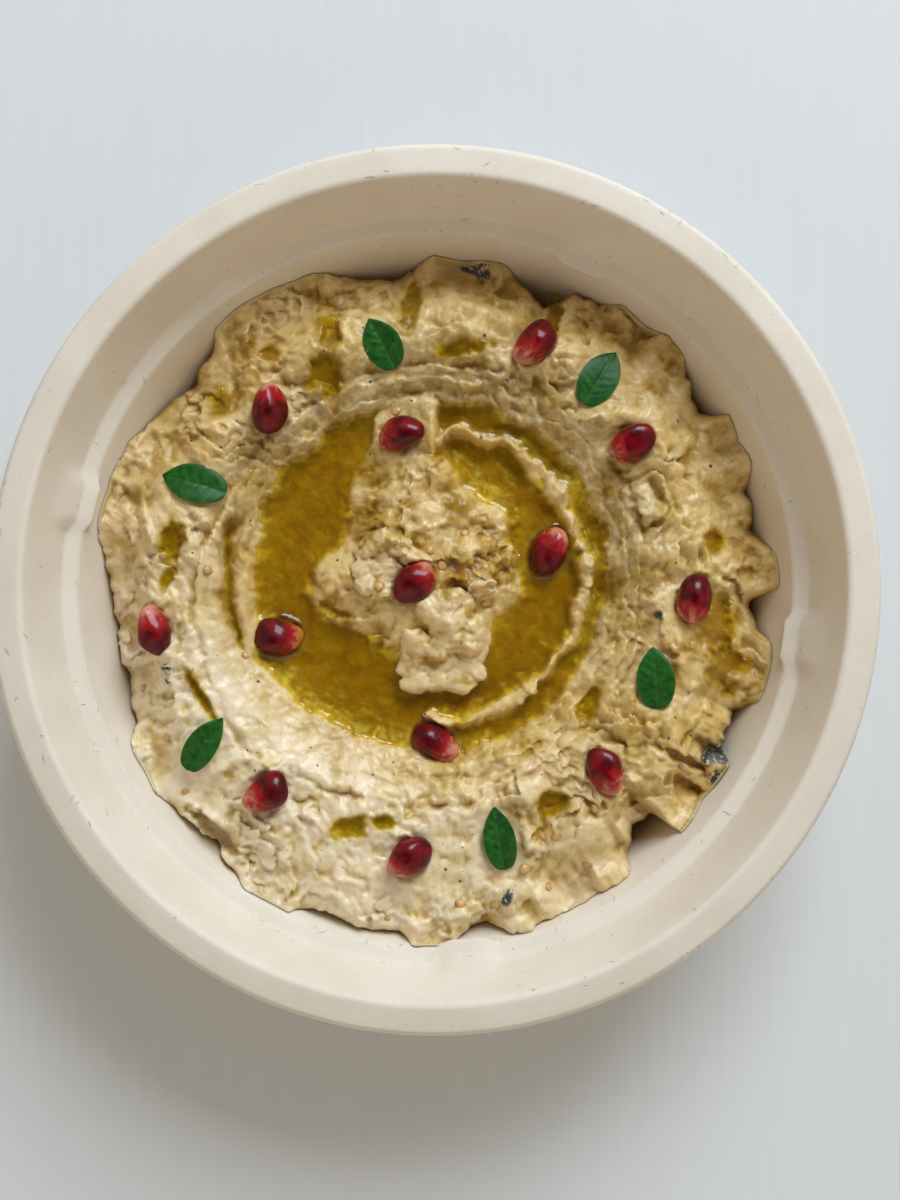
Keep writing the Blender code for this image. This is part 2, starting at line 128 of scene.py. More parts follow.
# Toppings: headings of the arils' pale ends and of the leaves' tips, in the order of their nodes
ARIL_SIZE = (11.3, 8.3, 7.3)
ARIL_BALL, BIT_BALL = (36, 23), (12, 6)  # (columns, rings) of the balls they are shaped from
ARIL_HEADINGS = (235, 100, 205, 185, 55, 45, 250, 0, 95, 330, 300, 205, 225)
LEAF_LOOKS = (  # (heading of the tip, length, width, fold)
    (118, 12, 7.8, 0.18), (58, 13.6, 8, 0.12), (165, 14.4, 8.2, 0.15),
    (95, 13.4, 8, 0.15), (55, 13.8, 6.4, 0.5), (100, 13.8, 6.8, 0.35),
)
LEAF_ROWS, LEAF_COLUMNS, LEAF_BODY = 41, 25, 0.28

# Colours of the puree, and what oil on it multiplies them by
DIP_CREAM = (0.82, 0.62, 0.285)
DIP_TAN = (0.71, 0.485, 0.18)
DIP_GREY = (0.53, 0.4, 0.22)
# Paler cream: where the dip was spooned smooth, and painted light where the window's light falls on it
DIP_PALE_AND_LIT = (0.92, 0.8, 0.6)
OIL_TINT = (0.7, 0.575, 0.02)
OIL_CLEAR = (0.97, 0.94, 0.38)  # what the oil lets through

# Bowl
WALL = 1.1
BOWL_LIP = 92.5
BOWL_TOP = 46.2
RIM_SLOPE_DROP = 0.9
LUG_HEADINGS = (66, 166, 275, 352)
LUG_HALF_WIDTH, LUG_REACH = 4.5, 1.7

# Camera
EYE = (0.0031, -0.0021, 0.446)  # metres
LENS = 58.4


# ---- numbers
def ease(low, high, value):
    """0 up to low and 1 from high on, with a smooth slope between."""
    t = np.clip((value - low) / (high - low), 0, 1)
    return t * t * (3 - 2 * t)


def blend(first, second, share):
    return first + (second - first) * share


def round_table(table, heading, column=1):
    """A column of a table that starts with headings, read at each heading all the way round."""
    return np.interp(heading, [row[0] for row in table], [row[column] for row in table], period=360)


def angle_gap(a, b):
    return np.abs((a - b + 180) % 360 - 180)


def polar(radius, heading):
    a = np.radians(heading)
    return radius * np.cos(a), radius * np.sin(a)


def perlin(x, y, seed):
    """Gradient noise, about -1 to 1, with one bump per unit."""
    rng = default_rng(seed)
    order, turns = rng.permutation(256), rng.uniform(0, 2 * pi, 256)
    left, below = np.floor(x).astype(int), np.floor(y).astype(int)
    total = np.zeros_like(x, dtype=float)
    for i in (0, 1):
        for j in (0, 1):
            turn = turns[order[(order[(left + i) & 255] + below + j) & 255]]
            dx, dy = x - left - i, y - below - j
            fade = (1 - ease(0, 1, np.abs(dx))) * (1 - ease(0, 1, np.abs(dy)))
            total += fade * (np.cos(turn) * dx + np.sin(turn) * dy)
    return 1.6 * total


def fractal(x, y, size, seed, octaves=4, gain=0.5):
    """Layers of noise, the largest with bumps of the given size."""
    total, weight, norm = 0, 1, 0
    for octave in range(octaves):
        scale = 2.03**octave / size
        total = total + weight * perlin(x * scale + 17 * octave, y * scale - 9 * octave, seed + octave)
        norm += weight
        weight *= gain
    return total / norm


def domes(x, y, size, seed):
    """Rounded lobes a size apart with creases between them, about -0.5 to 0.5."""
    rng = default_rng(seed)
    order, shift = rng.permutation(256), rng.uniform(0.1, 0.9, (256, 2))
    u, v = x / size, y / size
    left, below = np.floor(u).astype(int), np.floor(v).astype(int)
    least = np.full_like(u, 9)
    for i in (-1, 0, 1):
        for j in (-1, 0, 1):
            cell = order[(order[(left + i) & 255] + below + j) & 255]
            away = np.hypot(left + i + shift[cell, 0] - u, below + j + shift[cell, 1] - v)
            least = np.minimum(least, away)
    return 0.5 - 1.2 * np.minimum(least, 1) ** 2


def creased(x, y, size, seed):
    """Thin meandering ridges over rounded valleys, about -0.5 to 0.5."""
    ridge = 1 - np.abs(fractal(x, y, size, seed, 3, 0.45)) / 0.28
    return np.maximum(ridge, 0) ** 2 - 0.35


def flakes(level, drop=0.13):
    """Slow ramps that each end in a sudden drop, as where layers of a stiff paste overlap."""
    part = level - np.floor(level)
    return np.where(part < 1 - drop, part / (1 - drop), (1 - part) / drop) - 0.5


# ---- places taken from the model
def middle_of(node):
    """The middle of a CAD node's box, in millimetres."""
    low, high = (np.array(corner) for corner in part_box(node))
    return (low + high) / 2 / MM


ARILS = [(*middle_of(f"pomegranate_aril_{k:02d}"), way) for k, way in enumerate(ARIL_HEADINGS, 1)]
LEAVES = [(*middle_of(f"leaf_{k}"), look[0]) for k, look in enumerate(LEAF_LOOKS, 1)]


def oval(x, y, at_x, at_y, half_length, half_width, heading):
    """0 in the middle of an oval, 1 on its outline, and more outside."""
    a = radians(heading)
    along = ((x - at_x) * cos(a) + (y - at_y) * sin(a)) / half_length
    across = (-(x - at_x) * sin(a) + (y - at_y) * cos(a)) / half_width
    return np.hypot(along, across)


def nearest(places, x, y, length, width):
    """The oval distance to the nearest of the toppings: 1 on its outline."""
    half = length / 2, width / 2
    return np.min([oval(x, y, at_x, at_y, *half, way) for at_x, at_y, _, way in places], axis=0)


def nearest_aril(x, y):
    return nearest(ARILS, x, y, *ARIL_SIZE[:2])


# ---- dip's shape
def swirl_place(x, y):
    """Distance from the swirl's middle, and heading there."""
    dx, dy = x - SWIRL[0], y - SWIRL[1]
    return np.hypot(dx, dy), np.degrees(np.arctan2(dy, dx))


def pool_share(x, y, pool):
    """0 in the middle of a small pool or hollow, 1 at its rim, with an uneven outline."""
    uneven = 0.3 * perlin(x / 2.9, y / 2.9, 71) + 0.16 * perlin(x / 1.3, y / 1.3, 72)
    return oval(x, y, *pool[:5]) + uneven


def swirl_form(u, heading, edge):
    """The swirl without its rough surface: its height, and how far the shore of the oil is.

    The second value is above 0 on the dip and below 0 under the oil, in millimetres, and the
    third is the same for the outer ring alone.
    """
    inside = round_table(MOUND_SHORE, heading) - u
    outside = u - round_table(RING_SHORE, heading)
    shore = np.maximum(inside, outside)
    bed = -BED_DEPTH * (1 - np.exp(np.minimum(shore, 0) / 2.4))
    mound = 2 * (1 - np.exp(-np.maximum(inside, 0) / 1.7)) + 2.2 * ease(0, 13, inside)
    ring = 1.5 * (1 - np.exp(-np.maximum(outside, 0) / 1.2)) + 4.6 * ease(0, 13, outside)
    front = ease(110, 50, angle_gap(heading, 240))
    ring -= blend(6, 1, front) * ease(54, 76, edge)
    z = OIL_LEVEL + np.where(shore < 0, bed, np.where(inside > outside, mound, ring))

    radius, width = (round_table(THIN_CREST, heading, column) for column in (1, 2))
    width = width * (1 + 0.55 * perlin(heading / 9, u / 7, 77))
    radius = radius + 0.9 * perlin(heading / 13, u / 30, 79)
    crest = np.exp(-(((u - radius) / width) ** 2)) * (np.abs(heading) < 90)
    z += np.maximum(OIL_LEVEL + 1.3 + 1.3 * perlin(heading / 7, u / 9, 74) - z, 0) * crest
    shore = np.maximum(shore, np.where(crest > 0.6, (crest - 0.6) * 3, -9))

    ridge = np.exp(-(((u - 39.6) / 1.3) ** 2)) * ease(24, 14, angle_gap(heading, 177))
    channel = np.exp(-(((u - 43) / 1.5) ** 2)) * ease(25, 15, angle_gap(heading, 182))
    z += 0.9 * ridge + (OIL_LEVEL - 1.2 - z) * channel
    shore = np.where(channel > 0.7, -0.5, shore)
    return z, shore, outside


def relief(wx, wy, x, y, u, heading, shore, outside):
    """The rough surface on the swirl's form: its height, and how rough it is from 0 to 1."""
    crease_gap = u - round_table(CREASE, heading)
    lip = ease(-0.5, 1.5, outside) * (1 - ease(-3, 1, crease_gap))
    swept = lip * ease(62, 30, angle_gap(heading, 222))
    rough = ease(-3.5, 1.8, shore) * (1 - 0.4 * lip) * (1 - 0.8 * swept)
    rough = rough * blend(0.5, 1, ease(0.9, 1.2, nearest_aril(x, y)))
    rough = rough * blend(0.3, 1, ease(0.9, 1.5, nearest(LEAVES, x, y, 14, 8.4)))

    rough = rough * blend(0.5, 1.15, ease(-0.35, 0.35, fractal(x, y, 17, 36, 2)))
    outer = ease(0, 6, outside)
    layered = ease(-0.25, 0.35, fractal(x, y, 19, 22, 2))
    folded = ease(0.3, -0.2, fractal(x, y, 15, 29, 2))
    z = rough * 3 * outer * domes(wx, wy, 11, 23)
    z += rough * 2.9 * fractal(wx, wy, 8, 18, 5, 0.45)
    z += rough * (0.5 + 1.3 * outer) * layered * flakes(3 * fractal(wx, wy, 15, 19, 3, 0.45))
    z += rough * 1.3 * folded * creased(wx, wy, 7, 30)
    z += rough * (1.1 - 0.5 * layered * outer) * domes(wx, wy, 4.4, 24)
    z += rough * 0.32 * domes(wx + 0.7 * fractal(x, y, 2, 25, 2), wy, 2.2, 26)
    z += rough * 0.12 * fractal(x, y, 1.15, 21, 3, 0.6)

    arc = np.radians(heading) * 40
    strokes = fractal(u, arc / 6, 1.6, 17, 3)
    ribs = domes(u, arc / 3.5, 3.6, 37)
    strata = flakes(u / 3.1 + 0.9 * fractal(wx, wy, 12, 27, 3))
    z += (1 - 0.75 * swept) * (0.3 * strokes * (0.6 + lip) + (0.8 * strata + 0.9 * ribs) * lip)
    z += (1 - rough) * 0.4 * fractal(wx, wy, 4.2, 28, 3)
    patchy = ease(-0.3, 0.5, fractal(wx, wy, 14, 16, 2) + 0.25)
    z -= 1.3 * np.exp(-((crease_gap / 0.8) ** 2)) * patchy
    return z, rough


def dip_height(x, y):
    """The dip's upper surface in millimetres, and how rough it is there from 0 to 1."""
    wx = x + 1.7 * fractal(x, y, 7, 11) + 0.5 * fractal(x, y, 2, 12, 2)
    wy = y + 1.7 * fractal(x, y, 7, 13) + 0.5 * fractal(x, y, 2, 14, 2)
    u, heading = swirl_place(wx, wy)
    z, shore, outside = swirl_form(u, heading, np.hypot(x, y))
    added, rough = relief(wx, wy, x, y, u, heading, shore, outside)
    sunk = [1 - ease(0.4, 1.15, pool_share(x, y, pool)) for pool in PUDDLES + HOLLOWS]
    calmed = 1 - 0.6 * np.max(sunk, axis=0)
    z, rough = z + added * calmed, rough * calmed
    for pool, share in zip(PUDDLES + HOLLOWS, sunk):
        z -= pool[5] * share
    nest = nearest_aril(x, y) + 0.16 * perlin(x / 1.7, y / 1.7, 78)
    return z - 1.3 * (1 - ease(0.6, 1, nest)), rough


def spoonful_height(x, y):
    """How far the spoonful stands over the mound."""
    wx = x + 0.8 * fractal(x, y, 3, 31, 3)
    wy = y + 0.8 * fractal(x, y, 3, 32, 3)
    total = np.zeros_like(x)
    for at_x, at_y, radius, height in SPOONFUL:
        away = np.hypot(wx - at_x, wy - at_y) / radius
        total = np.maximum(total, height * np.clip(1 - away**2.4, 0, 1) ** 0.45)
    return total


# ---- mesh building
def add_object(name, data):
    made = bpy.data.objects.new(name, data)
    bpy.context.collection.objects.link(made)
    return made


def add_mesh(name, points_mm, faces, node_names, slot, material, **attributes):
    """A smooth piece, its points given in millimetres, that stands for CAD nodes of the frame.

    Each attribute is a number at each of the points. Points past its end get 0.
    """
    mesh = bpy.data.meshes.new(name)
    mesh.from_pydata((np.asarray(points_mm) * MM).tolist(), [], faces)
    mesh.validate()
    mesh.shade_smooth()
    mesh.materials.append(material)
    for key, values in attributes.items():
        padded = np.zeros(len(mesh.vertices), dtype=np.float32)
        padded[: len(values)] = values
        mesh.attributes.new(key, "FLOAT", "POINT").data.foreach_set("value", padded)
    made = add_object(name, mesh)
    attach(made, "root")
    if node_names:
        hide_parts(*node_names)
    return made


def disc_grid(rings):
    """An even disc of triangles: (share of the radius, heading in degrees, faces)."""
    share, heading, faces, inner = [0], [0], [], 0
    for ring in range(1, rings + 1):
        outer, count, inner_count = len(share), 6 * ring, max(1, 6 * (ring - 1))
        share += [ring / rings] * count
        heading += [360 * k / count for k in range(count)]
        for side in range(6):
            for k in range(ring):
                a = outer + side * ring + k
                b = outer + (side * ring + k + 1) % count
                c = inner + (side * (ring - 1) + k) % inner_count
                faces.append((a, b, c))
                if k < ring - 1:
                    d = inner + (side * (ring - 1) + k + 1) % inner_count
                    faces.append((b, d, c))
        inner = outer
    return np.array(share), np.array(heading), faces


def ring_faces(first, second, count):
    """Faces between two rings of points, the second one under the first."""
    return [
        (first + k, second + k, second + (k + 1) % count, first + (k + 1) % count)
        for k in range(count)
    ]


def closed_disc(x, y, z, disc, rings, side):
    """Points and faces of a disc with a side and an under side.

    The side is given as rings of points, or as one depth below the disc's edge.
    """
    points, faces = np.stack([x, y, z], axis=-1), list(disc)
    count = 6 * rings
    above = len(points) - count
    if np.isscalar(side):
        side = [points[above:] - (0, 0, side)]
    for ring in side:
        start = len(points)
        points = np.vstack([points, ring])
        faces += ring_faces(above, start, count)
        above = start
    middle = len(points)
    points = np.vstack([points, side[-1].mean(axis=0)])
    faces += [(above + (k + 1) % count, above + k, middle) for k in range(count)]
    return points, faces


def joined(parts):
    """Points and faces of several meshes as those of one."""
    faces, start = [], 0
    for points, part in parts:
        faces += [tuple(i + start for i in face) for face in part]
        start += len(points)
    return np.vstack([points for points, _ in parts]), faces


def evened(values, faces, rounds):
    """Each point's value, averaged with its neighbours' so many times."""
    a, b, c = np.array(faces).T
    here, there = np.concatenate([a, b, c, b, c, a]), np.concatenate([b, c, a, a, b, c])
    count = len(values)
    neighbours = np.bincount(here, minlength=count)
    for _ in range(rounds):
        around = np.bincount(here, values[there], minlength=count)
        values = (values + around) / (neighbours + 1)
    return values


def skin_faces(columns, rings):
    """Faces of a skin whose points run in rings from one end up, then the two ends' middles."""
    faces = []
    for k in range(rings - 1):
        faces += [face[::-1] for face in ring_faces(k * columns, (k + 1) * columns, columns)]
    last, bottom = (rings - 1) * columns, rings * columns
    for i in range(columns):
        j = (i + 1) % columns
        faces += [(j, i, bottom), (last + i, last + j, bottom + 1)]
    return faces


def ball_points(columns, rings):
    """Points of a ball of radius 1, in the order that skin_faces takes them."""
    lean = np.repeat(np.linspace(-pi / 2, pi / 2, rings + 2)[1:-1], columns)
    turn = np.tile(np.arange(columns) * 2 * pi / columns, rings)
    sides = np.stack([np.cos(lean) * np.cos(turn), np.cos(lean) * np.sin(turn), np.sin(lean)], axis=-1)
    return np.vstack([sides, [0, 0, -1], [0, 0, 1]])


class Ground:
    """The finished upper surface of some pieces, to lay other things on."""

    def __init__(self, *pieces):
        points, faces = [], []
        for piece in pieces:
            faces += [[i + len(points) for i in face.vertices] for face in piece.data.polygons]
            points += [vertex.co / MM for vertex in piece.data.vertices]
        self.tree = BVHTree.FromPolygons(points, faces)

    def height(self, x, y):
        return np.array([self.drop(a, b) for a, b in zip(np.ravel(x), np.ravel(y))])

    def drop(self, x, y):
        place = self.tree.ray_cast(Vector((x, y, 60)), Vector((0, 0, -1)))[0]
        return place.z if place else 0

    def upward(self, x, y, step):
        """The surface's upward direction, evened out over a step each way."""
        left, right, front, back = self.height([x - step, x + step, x, x], [y, y, y - step, y + step])
        return Vector((left - right, front - back, 2 * step)).normalized()

    def laid(self, points, x, y, turn, step, share=1):
        """Points turned, then tilted to lie flat on the surface, or part of the way there."""
        up = Vector((0, 0, 1))
        tilt = up.rotation_difference(up.lerp(self.upward(x, y, step), share)).to_matrix()
        return points @ np.array(tilt @ Matrix.Rotation(turn, 3, "Z")).T


# ---- materials
class Shader:
    """A material's nodes, added one at a time. Inputs are constants or other nodes' sockets."""

    def __init__(self, name, colour=None):
        self.colour, self.normal = colour, None
        self.material = bpy.data.materials.new(name)
        self.material.use_nodes = True
        self.tree = self.material.node_tree
        self.main = self.tree.nodes["Principled BSDF"]

    def feed(self, node, inputs):
        for key, value in inputs.items():
            if isinstance(value, bpy.types.NodeSocket):
                self.tree.links.new(value, node.inputs[key])
            elif value is not None:
                node.inputs[key].default_value = value

    def add(self, kind, inputs, **settings):
        node = self.tree.nodes.new(kind)
        for key, value in settings.items():
            setattr(node, key, value)
        self.feed(node, inputs)
        return node

    def attribute(self, name):
        return self.add("ShaderNodeAttribute", {}, attribute_name=name).outputs["Fac"]

    def place(self, stretch=None):
        """Object coordinates, with a pattern's bumps made smaller along an axis by its factor."""
        coordinates = self.add("ShaderNodeTexCoord", {}).outputs["Object"]
        if stretch is None:
            return coordinates
        inputs = {"Vector": coordinates, "Scale": stretch}
        return self.add("ShaderNodeMapping", inputs).outputs["Vector"]

    def around(self):
        """Object coordinates as (distance from the axis, a little of the heading, height)."""
        apart = self.add("ShaderNodeSeparateXYZ", {0: self.place()}).outputs
        squares = [self.maths("POWER", apart[k], 2) for k in (0, 1)]
        turn = self.times(self.maths("ARCTAN2", apart[1], apart[0]), 0.004)
        distance = self.maths("SQRT", self.maths("ADD", *squares), 0)
        return self.add("ShaderNodeCombineXYZ", {0: distance, 1: turn, 2: apart[2]}).outputs[0]

    def noise(self, size_mm, detail=4, roughness=0.55, distortion=0, place=None):
        inputs = {"Vector": self.place() if place is None else place, "Scale": 1 / (size_mm * MM)}
        inputs.update({"Detail": detail, "Roughness": roughness, "Distortion": distortion})
        return self.add("ShaderNodeTexNoise", inputs).outputs["Fac"]

    def cells(self, size_mm):
        """Distances to the nearest of some scattered points, counted in sizes."""
        inputs = {"Vector": self.place(), "Scale": 1 / (size_mm * MM)}
        return self.add("ShaderNodeTexVoronoi", inputs).outputs["Distance"]

    def between(self, value, low, high, to_low=0, to_high=1):
        """A smooth slope from one value to another, where the input lies between two bounds."""
        inputs = {"Value": value, "From Min": low, "From Max": high, "To Min": to_low, "To Max": to_high}
        node = self.add("ShaderNodeMapRange", inputs, interpolation_type="SMOOTHSTEP")
        return node.outputs["Result"]

    def maths(self, operation, first, second):
        return self.add("ShaderNodeMath", {0: first, 1: second}, operation=operation).outputs[0]

    def times(self, first, second):
        return self.maths("MULTIPLY", first, second)

    def paint(self, factor, colour, blend_type="MIX"):
        """Mixes a colour over the one that the material has so far."""
        node = self.add("ShaderNodeMix", {}, data_type="RGBA", blend_type=blend_type)
        for index, value in ((0, factor), (6, self.colour), (7, colour)):
            self.feed(node, {index: (*value, 1) if isinstance(value, tuple) else value})
        self.colour = node.outputs[2]

    def bump(self, height, distance_mm, strength):
        """Adds bumps to those that the material has so far."""
        inputs = {"Height": height, "Distance": distance_mm * MM, "Strength": strength}
        self.normal = self.add("ShaderNodeBump", {**inputs, "Normal": self.normal}).outputs["Normal"]

    def finish(self, **inputs):
        self.feed(self.main, {"Base Color": self.colour, "Normal": self.normal})
        self.feed(self.main, {key.replace("_", " "): value for key, value in inputs.items()})
        return self.material


def fibre_material():
    """Pressed plant fibre: off-white, faintly mottled, felted, with fine lines turned round it."""
    s = Shader("moulded_fibre", (0.79, 0.715, 0.595))
    felt = s.noise(0.9, 5, 0.65)
    s.paint(s.between(s.noise(16, 4), 0.35, 0.7), (0.74, 0.66, 0.535))
    s.paint(s.between(felt, 0.3, 0.75, 0, 0.3), (0.87, 0.81, 0.7))
    s.paint(s.between(s.cells(4.2), 0.025, 0.05, 0.5, 0), (0.27, 0.2, 0.13))
    s.bump(s.noise(11, 2), 0.3, 0.35)
    s.bump(s.noise(0.8, 2, 0.5, place=s.around()), 0.05, 0.45)
    s.bump(felt, 0.05, 0.5)
    return s.finish(Roughness=s.between(felt, 0.2, 0.8, 0.55, 0.72), Specular_IOR_Level=0.4)


def dip_material():
    """Moist aubergine puree: creamy on its peaks, darkened olive-brown in its folds as painted shade,
    paler where spooned smooth and with painted light where the window falls, gold under oil.
    """
    s = Shader("baba_ganoush", DIP_TAN)
    fold, oil, pale_and_lit = s.attribute("fold"), s.attribute("oil"), s.attribute("pale_and_lit")
    skin, dull = s.attribute("skin"), s.attribute("dull")
    s.paint(s.between(s.noise(4.6, 4, 0.62, 0.5), 0.36, 0.64), DIP_CREAM)
    s.paint(s.between(s.noise(1.5, 4, 0.62, 0.9), 0.5, 0.7, 0, 0.55), DIP_GREY)
    # Paler where the dip was spooned smooth, and painted light on the lower-left side that the window
    # lights
    s.paint(s.times(pale_and_lit, 0.85), DIP_PALE_AND_LIT)
    streaks = s.between(s.noise(2.2, 3, 0.6, 1.2), 0.35, 0.6)
    s.paint(s.times(dull, streaks), (0.4, 0.33, 0.2))
    # Painted shade: folds and hollows darkened olive-brown
    s.paint(s.times(fold, 0.8), (0.66, 0.53, 0.3), "MULTIPLY")
    patches = s.between(s.noise(7.5, 3, 0.6, 1.2), 0.46, 0.64)
    soaked = s.times(patches, s.between(fold, -0.3, 0.8, 0.12, 0.9))
    s.paint(soaked, (0.8, 0.66, 0.14), "MULTIPLY")
    s.paint(s.between(s.cells(2.6), 0.05, 0.09, 0.65, 0), (0.16, 0.1, 0.05))
    veins = s.between(s.noise(2.6, 4, 0.65, 1.6), 0.46, 0.56, 0.25, 0)
    s.paint(s.times(veins, oil), (0.36, 0.26, 0.1))
    clouds = s.between(s.noise(5, 4, 0.6, 1.2), 0.38, 0.62, 0, 0.8)
    s.paint(s.times(clouds, oil), (0.74, 0.76, 0.8), "MULTIPLY")
    for _ in range(2):
        s.paint(oil, OIL_TINT, "MULTIPLY")
    charred = s.times(skin, s.between(s.noise(1.1, 3, 0.6), 0.38, 0.5))
    s.paint(charred, (0.035, 0.042, 0.045))
    s.bump(s.noise(1.7, 4, 0.64, 0.7), 0.4, 0.34)
    s.bump(s.noise(0.5, 1, 0.6), 0.12, 0.3)
    return s.finish(
        Roughness=s.between(s.noise(2.4, 2), 0.4, 0.65, 0.36, 0.56), Specular_IOR_Level=0.4,
        Subsurface_Weight=0.3, Subsurface_Radius=(1, 0.6, 0.3), Subsurface_Scale=0.0018,
        Coat_Weight=0.25, Coat_Roughness=0.18, Coat_Normal=s.normal,
    )


def oil_material():
    """Clear oil: it tints what lies below it and mirrors the light."""
    s = Shader("olive_oil")
    s.bump(s.noise(7, 2), 0.25, 0.3)
    clear = s.add("ShaderNodeBsdfTransparent", {"Color": (*OIL_CLEAR, 1)})
    shine = s.add("ShaderNodeBsdfGlossy", {"Roughness": 0.03, "Normal": s.normal})
    aslant = s.add("ShaderNodeLayerWeight", {"Blend": 0.5, "Normal": s.normal}).outputs["Facing"]
    mirrored = s.between(s.maths("POWER", aslant, 4), 0, 1, 0.04, 1)
    both = s.add("ShaderNodeMixShader", {0: mirrored, 1: clear.outputs[0], 2: shine.outputs[0]})
    s.tree.links.new(both.outputs[0], s.tree.nodes["Material Output"].inputs["Surface"])
    s.tree.nodes.remove(s.main)
    return s.material


def aril_material():
    """Glassy red flesh that pales over the seed towards the aril's tip."""
    s = Shader("pomegranate", (0.06, 0.0006, 0.003))
    s.paint(s.between(s.noise(3, 3), 0.35, 0.7), (0.2, 0.002, 0.006))
    streaks = s.between(s.noise(2.2, 3, 0.5, 0.6), 0.3, 0.7, -0.1, 0.1)
    uneven = s.maths("ADD", s.attribute("tip"), streaks)
    s.paint(s.between(uneven, 0.5, 0.72), (0.34, 0.008, 0.011))
    s.paint(s.between(uneven, 0.7, 0.98), (0.6, 0.24, 0.15))
    s.bump(s.noise(1.6, 3), 0.2, 0.4)
    return s.finish(
        Roughness=0.28, Specular_IOR_Level=0.15, Coat_Weight=0.3, Coat_Roughness=0.07,
        Subsurface_Weight=0.12, Subsurface_Radius=(1, 0.12, 0.1), Subsurface_Scale=0.0016,
    )


def leaf_material():
    """A small herb leaf: deep green between slightly paler veins, a little glossy."""
    s = Shader("herb_leaf", (0.003, 0.055, 0.005))
    mottle = s.noise(1.8, 5, 0.6)
    s.paint(s.between(mottle, 0.3, 0.7), (0.016, 0.125, 0.01))
    s.paint(s.times(s.attribute("vein"), 0.5), (0.05, 0.19, 0.03))
    s.paint(s.times(s.attribute("rim"), 0.4), (0.06, 0.16, 0.02))
    s.bump(s.noise(0.8, 4), 0.1, 0.4)
    return s.finish(
        Roughness=s.between(mottle, 0.2, 0.8, 0.34, 0.46), Specular_IOR_Level=0.25,
        Subsurface_Weight=0.08, Subsurface_Radius=(0.3, 1, 0.2), Subsurface_Scale=0.0006,
    )


def seed_material():
    """Flat aubergine seeds, tan with a darker ring."""
    s = Shader("aubergine_seed", (0.74, 0.44, 0.14))
    s.paint(s.noise(2, 3), (0.6, 0.31, 0.08))
    s.paint(s.times(s.attribute("rim"), 0.6), (0.33, 0.17, 0.06))
    s.bump(s.noise(0.4, 3), 0.05, 0.5)
    return s.finish(Roughness=0.35, Coat_Weight=0.3)


def char_material():
    """Flecks of charred aubergine skin."""
    s = Shader("charred_skin", (0.02, 0.02, 0.022))
    s.paint(s.noise(0.8, 4), (0.12, 0.095, 0.075))
    s.bump(s.noise(0.5, 4), 0.1, 0.6)
    return s.finish(Roughness=0.4)


def fleck_material():
    """Single darker fibres pressed into the bowl."""
    s = Shader("dark_fibre", (0.1, 0.07, 0.045))
    s.paint(s.noise(2, 3), (0.3, 0.22, 0.14))
    return s.finish(Roughness=0.8)


def floor_material():
    """A white table with a fine, shallow grain."""
    s = Shader("floor", (0.73, 0.75, 0.755))
    grain = s.noise(1.5, 4, 0.6, place=s.place((1, 0.05, 1)))
    s.paint(grain, (0.78, 0.8, 0.805))
    s.bump(grain, 0.12, 0.4)
    return s.finish(Roughness=0.6)


# ---- bowl
def rounded(corners, steps=6):
    """A line through corners (r, z, fillet radius), with each fillet as an arc."""
    line = [Vector(corners[0][:2])]
    for before, here, after in zip(corners, corners[1:], corners[2:]):
        corner = Vector(here[:2])
        back = (Vector(before[:2]) - corner).normalized()
        ahead = (Vector(after[:2]) - corner).normalized()
        half = back.angle(ahead) / 2
        centre = corner + (back + ahead).normalized() * (here[2] / sin(half))
        start = corner + back * (here[2] / tan(half)) - centre
        sweep = start.angle_signed(corner + ahead * (here[2] / tan(half)) - centre)
        line += [centre + Matrix.Rotation(-sweep * k / steps, 2) @ start for k in range(steps + 1)]
    return line + [Vector(corners[-1][:2])]


def evenly(line, step):
    """The line with points added so that none are further apart than the step."""
    points = [line[0]]
    for low, high in zip(line, line[1:]):
        parts = max(1, int(np.ceil((high - low).length / step)))
        points += [low.lerp(high, k / parts) for k in range(1, parts + 1)]
    return points


def bowl_profile():
    """The bowl's upper surface as points (r, z) from the floor's middle out to the lip."""
    corners = [
        (0, 2.2, 0), (48.5, 2.2, 1.5), (50, 1.1, 0.8), (66, 1.1, 10), (76.6, 29.2, 1.6),
        (79.8, 30.6, 1.3), (85.2, BOWL_TOP, 1.5), (91.5, BOWL_TOP - RIM_SLOPE_DROP, 1.3),
        (BOWL_LIP, BOWL_TOP - 4, 0),
    ]
    return evenly(rounded(corners), 1.6)


def lug_reach(heading, height):
    """How far a lug stands in from the wall: full on the ledge, fading out up the wall."""
    gap = np.min([angle_gap(heading, lug) for lug in LUG_HEADINGS], axis=0)
    near = 1 - ease(0.62 * LUG_HALF_WIDTH, 1.08 * LUG_HALF_WIDTH, gap)
    return LUG_REACH * near * ease(26.8, 29.4, height) * (1 - ease(30.2, 39, height))


def wall_radius(height):
    """The bowl's inner radius at a height below its ledge."""
    line = [p for p in bowl_profile() if p.x > 59 and p.y < 29]
    return np.interp(height, [p.y for p in line], [p.x for p in line])


def wall_height(radius):
    """The height of the bowl's inner surface at a radius between its floor and the ledge."""
    line = [p for p in bowl_profile() if 59 < p.x < 79]
    return np.interp(radius, [p.x for p in line], [p.y for p in line])


def turned(line, heights, heading):
    """A line's points (r, z) turned to each heading; the heights say how far up the lugs each is."""
    wave, rings = 0.12 * np.sin(3 * np.radians(heading) + 0.7), []
    for point, height in zip(line, heights):
        r = point.x - lug_reach(heading, height)
        uneven = wave * ease(20, 46, point.y)
        rings.append(np.stack([*polar(r, heading), point.y + uneven], axis=-1))
    return rings


def beside(line, distance):
    """The line moved to the right of its direction."""
    moved = []
    for k, point in enumerate(line):
        run = line[min(k + 1, len(line) - 1)] - line[max(k - 1, 0)]
        moved.append(point + Vector((run.y, -run.x)).normalized() * distance)
    return moved


